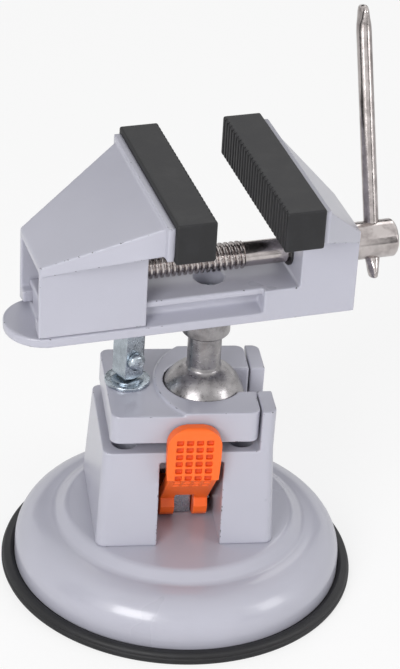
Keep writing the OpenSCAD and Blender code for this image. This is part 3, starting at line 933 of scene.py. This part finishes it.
@dataclass
class BallStud:
    """The ball with its neck, the collar on it and the screw that holds the bed."""

    head: Matrix
    ball: float = 15.0
    neck: float = 5.85
    seat_z: float = 37.2
    collar: float = 8.4
    collar_z: float = 28.0
    spigot: float = 5.0
    spigot_top: float = 38.8
    neck_blend: float = 0.06

    def build(self) -> None:
        """Builds the stud and the collar, and dresses the screw."""
        join_z = math.sqrt(self.ball ** 2 - self.neck ** 2)
        last = math.pi - math.asin(self.neck / self.ball) - self.neck_blend
        arc = [(self.ball * math.sin(a), -self.ball * math.cos(a), 0.0) for a in np.linspace(0, last, 40)]
        above = [(self.neck + 0.25, join_z + 0.25, 0.5), (self.neck, join_z + 1.4, 0.8),
                 (self.neck, self.seat_z, 0), (self.spigot, self.seat_z, 0),
                 (self.spigot, self.spigot_top, 0.3), (0, self.spigot_top, 0)]
        stud = revolve("ball_stud_steel", arc + above, self.head, 96)
        fit(stud, "ball_stud", SATIN_NICKEL, Slot.NICKEL, "ball_stud")
        low, high, r = self.collar_z, self.seat_z, self.collar
        ring = revolve("stud_collar_steel", [
            (self.neck, low, 0.2), (r - 0.5, low, 0.3), (r, low + 0.6, 0.3), (r, high - 0.5, 0.3),
            (r - 0.4, high - 0.01, 0.2), (self.neck, high - 0.01, 0)], self.head, 96, closed=True)
        fit(ring, "ball_stud", SATIN_NICKEL, Slot.NICKEL, "stud_collar")
        dress("bed_screw", ZINC)


@dataclass
class JawPad:
    """A rubber cap over a jaw's tongue, with upright grooves in its gripping face."""

    head: Matrix
    face: float
    back: float
    half: float = 34.3
    low: float = 76.4
    high: float = 90.8
    front: float = 3.0
    wall: float = 2.1
    round: float = 0.7
    grooves: int = 26
    groove: float = 0.95
    deep: float = 0.8
    over: float = 1.0

    def mesh(self) -> bpy.types.Mesh:
        """Builds the cap.

        Returns:
            The mesh, in the head's frame.
        """
        away = math.copysign(1, self.back - self.face)
        low_x, high_x = sorted((self.face, self.back))
        cap = block((low_x, -self.half, self.low), (high_x, self.half, self.high), self.round)
        inner = sorted((self.face + away * self.front, self.back + away * self.over))
        tools = [block((inner[0], -self.half + self.wall, self.low + self.wall),
                       (inner[1], self.half - self.wall, self.high - self.wall))]
        pitch = 2 * self.half / (self.grooves + 1)
        for i in range(1, self.grooves + 1):
            middle = -self.half + i * pitch
            tools.append(block((self.face - self.deep, middle - self.groove / 2, self.low - self.over),
                               (self.face + self.deep, middle + self.groove / 2, self.high + self.over)))
        return cut(cap, join(tools))

    def build(self, name: str, body: str, node: str) -> None:
        """Builds the pad on its jaw.

        Args:
            name: The piece's name.
            body: The jaw's body.
            node: The CAD node that it stands for.
        """
        piece = RUBBER_CAP.form(name, self.mesh(), self.head)
        fit(piece, body, RUBBER, Slot.RUBBER, node)


@dataclass
class Head:
    """The bed with the fixed jaw, and the moving jaw that slides on it."""

    head: Matrix
    fixed_face: float = 13.46
    moving_face: float = -9.59
    pad_thick: float = 13.45
    plate_thick: float = 2.3
    middle_half: float = 13.45
    roof_high: float = 88.0
    fixed_drop: float = 0.614
    moving_drop: float = 0.321

    def casting(self, name: str, node: str, plate: float, drop: float) -> bpy.types.Object:
        """Builds a jaw's casting, with the middle of its roof level with the wings.

        Args:
            name: The casting's name.
            node: The CAD node that it stands for.
            plate: Where the roof meets the jaw plate, along the screw.
            drop: How far the middle of the CAD node's roof stands over its wings there.

        Returns:
            The piece.
        """
        mesh = plain_copy(node, self.head)
        for vert in mesh.vertices:
            x, y, z = vert.co / MM
            if abs(x - plate) < NEAR and abs(y) < self.middle_half and abs(z - self.roof_high) < NEAR:
                vert.co.z -= drop * MM
        return JAW_CASTING.form(name, mesh, self.head)

    def build(self) -> None:
        """Builds both jaw castings and their pads."""
        deep = self.pad_thick + self.plate_thick
        bed = self.casting("bed_casting", "bed", self.fixed_face + deep, self.fixed_drop)
        fit(bed, "head", ENAMEL, Slot.ENAMEL, "bed")
        jaw = self.casting("moving_jaw_casting", "moving_jaw", self.moving_face - deep, self.moving_drop)
        fit(jaw, "moving_jaw", ENAMEL, Slot.ENAMEL, "moving_jaw")
        JawPad(self.head, self.fixed_face, self.fixed_face + self.pad_thick).build(
            "fixed_jaw_rubber", "head", "fixed_jaw_pad")
        JawPad(self.head, self.moving_face, self.moving_face - self.pad_thick).build(
            "moving_jaw_rubber", "moving_jaw", "moving_jaw_pad")


@dataclass
class LeadScrew:
    """The lead screw with its thrust washer and hub, and the tommy bar through the hub."""

    head: Matrix
    axis_z: float = 56.4
    start: float = -56.0
    end: float = 11.4
    radius: float = 4.75
    depth: float = 1.1
    pitch: float = 2.0
    root_flat: float = 0.14
    flank: float = 0.58
    plain: float = 4.2
    journal: float = 3.5
    face: float = 27.9
    washer: float = 1.0
    washer_rim: float = 1.2
    hub_from: float = 48.6
    hub_radius: float = 6.5
    hub_long: float = 17.0
    bar_at: float = 57.8
    bar_turn: float = 19.7
    bar_radius: float = 2.6
    bar_play: float = 0.12
    drill_half: float = 9.0
    bar_up: float = 79.9
    bar_down: float = 13.5

    def along(self) -> Matrix:
        """Gives the screw's frame, with Z along its axis."""
        return self.head @ shift(0, 0, self.axis_z) @ turn(90, "Y")

    def bar_frame(self) -> Matrix:
        """Gives the bar's frame, with Z along the bar."""
        return self.head @ shift(self.bar_at, 0, self.axis_z) @ turn(-self.bar_turn, "X")

    def thread(self) -> None:
        """Builds the right-hand thread and the plain shoulder and journal after it."""
        sides, step = 64, 0.2
        rows = np.arange(self.start, self.end + step / 2, step)
        phase = (rows[:, None] / self.pitch - np.arange(sides) / sides) % 1
        tooth = np.clip((1 - np.abs(phase * 2 - 1) - self.root_flat) / self.flank, 0, 1)
        tooth = tooth * tooth * (3 - 2 * tooth)
        fade = np.clip((rows - self.start) / self.pitch, 0, 1)[:, None]
        radii = self.radius - self.depth + self.depth * tooth * fade
        step_at = self.face - self.washer
        tail = rounded([(self.plain, self.end, 0), (self.plain, self.end + 0.6, 0.3),
                        (self.plain, step_at, 0.2), (self.journal, step_at, 0),
                        (self.journal, self.hub_from + self.hub_long - 0.8, 0)])
        radii = np.vstack([np.zeros((1, sides)), radii] + [np.full((1, sides), r) for r, _ in tail]
                          + [np.zeros((1, sides))])
        heights = np.concatenate([[self.start], rows, [z for _, z in tail], [tail[-1][1]]])
        piece = skin("lead_screw_thread", ring_points(radii, radii, heights, sides), self.along())
        fit(piece, "lead_screw", NICKEL, Slot.NICKEL, "lead_screw")

    def hub(self) -> None:
        """Builds the hub with the cross hole for the bar, and the thrust washer."""
        low, high, r = self.hub_from, self.hub_from + self.hub_long, self.hub_radius
        blank = revolve("hub_blank", [
            (0, low, 0), (r - 0.7, low, 0.2), (r, low + 0.7, 0.4), (r, high - 0.8, 0.5),
            (r - 0.8, high, 0.4), (0, high - 0.15, 0)], turn(90, "Y"))
        bore, reach = self.bar_radius + self.bar_play, self.drill_half
        drill = revolve("drill", [(0, -reach, 0), (bore, -reach, 0), (bore, reach, 0), (0, reach, 0)],
                        shift(self.bar_at, 0, 0) @ turn(-self.bar_turn, "X"), 48)
        made = cut(settle(blank), settle(drill))
        piece = place_piece("screw_hub_steel", made, self.head @ shift(0, 0, self.axis_z))
        piece.data.set_sharp_from_angle(angle=SHARP)
        fit(piece, "lead_screw", NICKEL, Slot.NICKEL, "screw_hub")
        a, b, r = self.face - self.washer, self.face, self.plain + self.washer_rim
        ring = revolve("thrust_washer_steel", [(self.journal, a, 0), (r, a, 0.2), (r, b, 0.2),
                                               (self.journal, b, 0)], self.along(), 64, closed=True)
        fit(ring, "lead_screw", BLACK_STEEL, Slot.BLACK_STEEL, "thrust_washer")

    def bar(self) -> None:
        """Builds the bar with its two hammered ends."""
        low, high, r = -self.bar_down, self.bar_up, self.bar_radius
        stations = [(low, 0.0, 0.0), (low + 0.15, 0.8, 1.9), (low + 0.7, 1.3, 2.9), (low + 2.2, 1.65, 3.35),
                    (low + 4.2, 1.95, 3.2), (low + 6.2, 2.4, 2.75), (low + 8, r, r), (high - 9, r, r),
                    (high - 6.6, 2.45, 2.72), (high - 4.4, 2.0, 3.15), (high - 2.2, 1.7, 3.35),
                    (high - 0.8, 1.35, 2.9), (high - 0.15, 0.8, 1.9), (high, 0.0, 0.0)]
        places = np.array(stations)
        fine = np.concatenate([np.linspace(low, low + 8, 28), np.linspace(high - 9, high, 30)])
        wide, deep = (np.interp(fine, places[:, 0], places[:, k])[:, None] for k in (1, 2))
        piece = skin("tommy_bar_steel", ring_points(wide, deep, fine, 48), self.bar_frame())
        fit(piece, "tommy_bar", NICKEL, Slot.NICKEL, "tommy_bar")

    def build(self) -> None:
        """Builds the screw, the hub and the bar."""
        self.thread()
        self.hub()
        self.bar()


# ---------------------------------------------------------------- studio


@dataclass
class Studio:
    """A pale floor, soft lamps, a white surround and the camera."""

    azimuth: float = -9.328
    elevation: float = 29.992
    roll: float = 4.068
    distance: float = 818.96
    target: tuple[float, float, float] = (3.235, 0.0, 93.275)
    focal_px: float = 2399.25
    long_side_px: float = 669.0
    sensor: float = 36.0
    floor: str = "#fafafa"
    floor_half: float = 6000.0
    floor_glow: float = 0.75
    card: str = "#0c0c0c"
    ambient: float = 0.5
    aim_z: float = 0.08

    def camera(self) -> None:
        """Puts the camera where the picture was taken from."""
        az, el, roll = (math.radians(v) for v in (self.azimuth, self.elevation, self.roll))
        back = Vector((math.sin(az) * math.cos(el), -math.cos(az) * math.cos(el), math.sin(el)))
        right = (-back).cross(Vector((0, 0, 1))).normalized()
        up = right.cross(-back)
        tilted = right * math.cos(roll) + up * math.sin(roll)
        lens = bpy.data.cameras.new("camera")
        lens.sensor_width, lens.lens = self.sensor, self.focal_px * self.sensor / self.long_side_px
        lens.clip_start = 0.01
        eye = bpy.data.objects.new("camera", lens)
        eye.matrix_world = axes_at((Vector(self.target) + back * self.distance) * MM, tilted, back)
        bpy.context.scene.collection.objects.link(eye)
        bpy.context.scene.camera = eye

    def lamp(self, name: str, place: Sequence[float], size: float, power: float) -> None:
        """Hangs a square soft lamp that faces the vise.

        Args:
            name: The lamp's name.
            place: Where it hangs, in metres.
            size: Its side, in metres.
            power: Its power in watts.
        """
        light = bpy.data.lights.new(name, "AREA")
        light.size, light.energy = size, power
        hung = bpy.data.objects.new(name, light)
        hung.location = place
        aim = Vector((0, 0, self.aim_z)) - Vector(place)
        hung.rotation_euler = aim.to_track_quat("-Z", "Y").to_euler()
        bpy.context.scene.collection.objects.link(hung)

    def surround(self) -> None:
        """Makes the world white to the eye and in reflections, and a plain fill for the rest."""
        world = bpy.data.worlds.new("surround")
        bpy.context.scene.world = world
        world.use_nodes = True
        tree = world.node_tree
        tree.nodes.clear()
        rays = add_node(tree, "ShaderNodeLightPath").outputs
        seen = add_node(tree, "ShaderNodeMath", {0: rays["Is Camera Ray"], 1: rays["Is Glossy Ray"]},
                        operation="MAXIMUM")
        seen = add_node(tree, "ShaderNodeMath", {0: seen.outputs["Value"], 1: rays["Is Transmission Ray"]},
                        operation="MAXIMUM")
        strength = spread(tree, seen.outputs["Value"], 0.0, 1.0, self.ambient)
        white = add_node(tree, "ShaderNodeBackground", {"Color": linear("#ffffff"), "Strength": strength})
        add_node(tree, "ShaderNodeOutputWorld", {"Surface": white.outputs["Background"]})

    def ground(self) -> None:
        """Lays the floor, which looks near white and keeps the vise's shadow."""
        paint = bpy.data.materials.new("studio_floor")
        paint.use_nodes = True
        tree = paint.node_tree
        tree.nodes.clear()
        rays = add_node(tree, "ShaderNodeLightPath").outputs
        share = add_node(tree, "ShaderNodeMath", {0: rays["Is Camera Ray"], 1: self.floor_glow},
                         operation="MULTIPLY")
        matt = add_node(tree, "ShaderNodeBsdfDiffuse", {"Color": linear(self.floor)})
        glow = add_node(tree, "ShaderNodeEmission", {"Color": linear("#ffffff"), "Strength": 1.0})
        mixed = add_node(tree, "ShaderNodeMixShader", {
            0: share.outputs["Value"], 1: matt.outputs["BSDF"], 2: glow.outputs["Emission"]})
        add_node(tree, "ShaderNodeOutputMaterial", {"Surface": mixed.outputs["Shader"]})
        side = self.floor_half
        mesh = block((-side, -side, -20), (side, side, -0.02))
        mesh.materials.append(paint)
        place_piece("studio_floor", mesh)

    def flag(self, name: str, place: Sequence[float], wide: float, high: float) -> None:
        """Stands a black card that only shows as a dark streak in the bright metal.

        Args:
            name: The card's name.
            place: Its middle, in metres.
            wide: Its width, in millimetres.
            high: Its height, in millimetres.
        """
        paint = bpy.data.materials.get("black_card") or bpy.data.materials.new("black_card")
        paint.use_nodes = True
        paint.node_tree.nodes["Principled BSDF"].inputs["Base Color"].default_value = linear(self.card)
        mesh = block((-wide / 2, -5, -high / 2), (wide / 2, 5, high / 2))
        mesh.materials.append(paint)
        middle = Vector(place)
        turned = Matrix.Rotation(math.atan2(-middle.x, middle.y), 4, "Z")
        card = place_piece(name, mesh, Matrix.Translation(middle) @ turned)
        card.visible_camera = card.visible_diffuse = card.visible_shadow = card.visible_transmission = False

    def build(self) -> None:
        """Sets up the camera, the lamps, the surround, the floor and the cards."""
        self.camera()
        self.surround()
        self.ground()
        self.lamp("key", (-0.7, -1.0, 0.62), 0.6, 10.0)
        self.lamp("fill", (0.95, -0.6, 0.5), 0.5, 3.5)
        self.lamp("back", (0.25, 0.9, 0.9), 0.6, 2.0)
        self.flag("card_left", (-0.75, -0.2, 0.25), 360, 900)
        self.flag("card_right", (0.62, -0.66, 0.2), 260, 800)
        self.flag("card_front", (-0.22, -1.15, 0.75), 420, 260)
        self.flag("card_back", (0.1, 1.0, 0.66), 1500, 560)
        bpy.context.scene.view_settings.view_transform = "Standard"


def main() -> None:
    """Builds the vise, one sub-assembly after the other, and the studio around it."""
    logging.basicConfig(level=logging.INFO, format="%(message)s")
    head = head_frame()
    assemblies = [SuctionBase(), SuctionLever(), BallClamp(), BallStud(head), Head(head), LeadScrew(head),
                  Studio()]
    for assembly in assemblies:
        assembly.build()
        LOG.info("%s done", type(assembly).__name__)


if __name__ == "__main__":
    main()
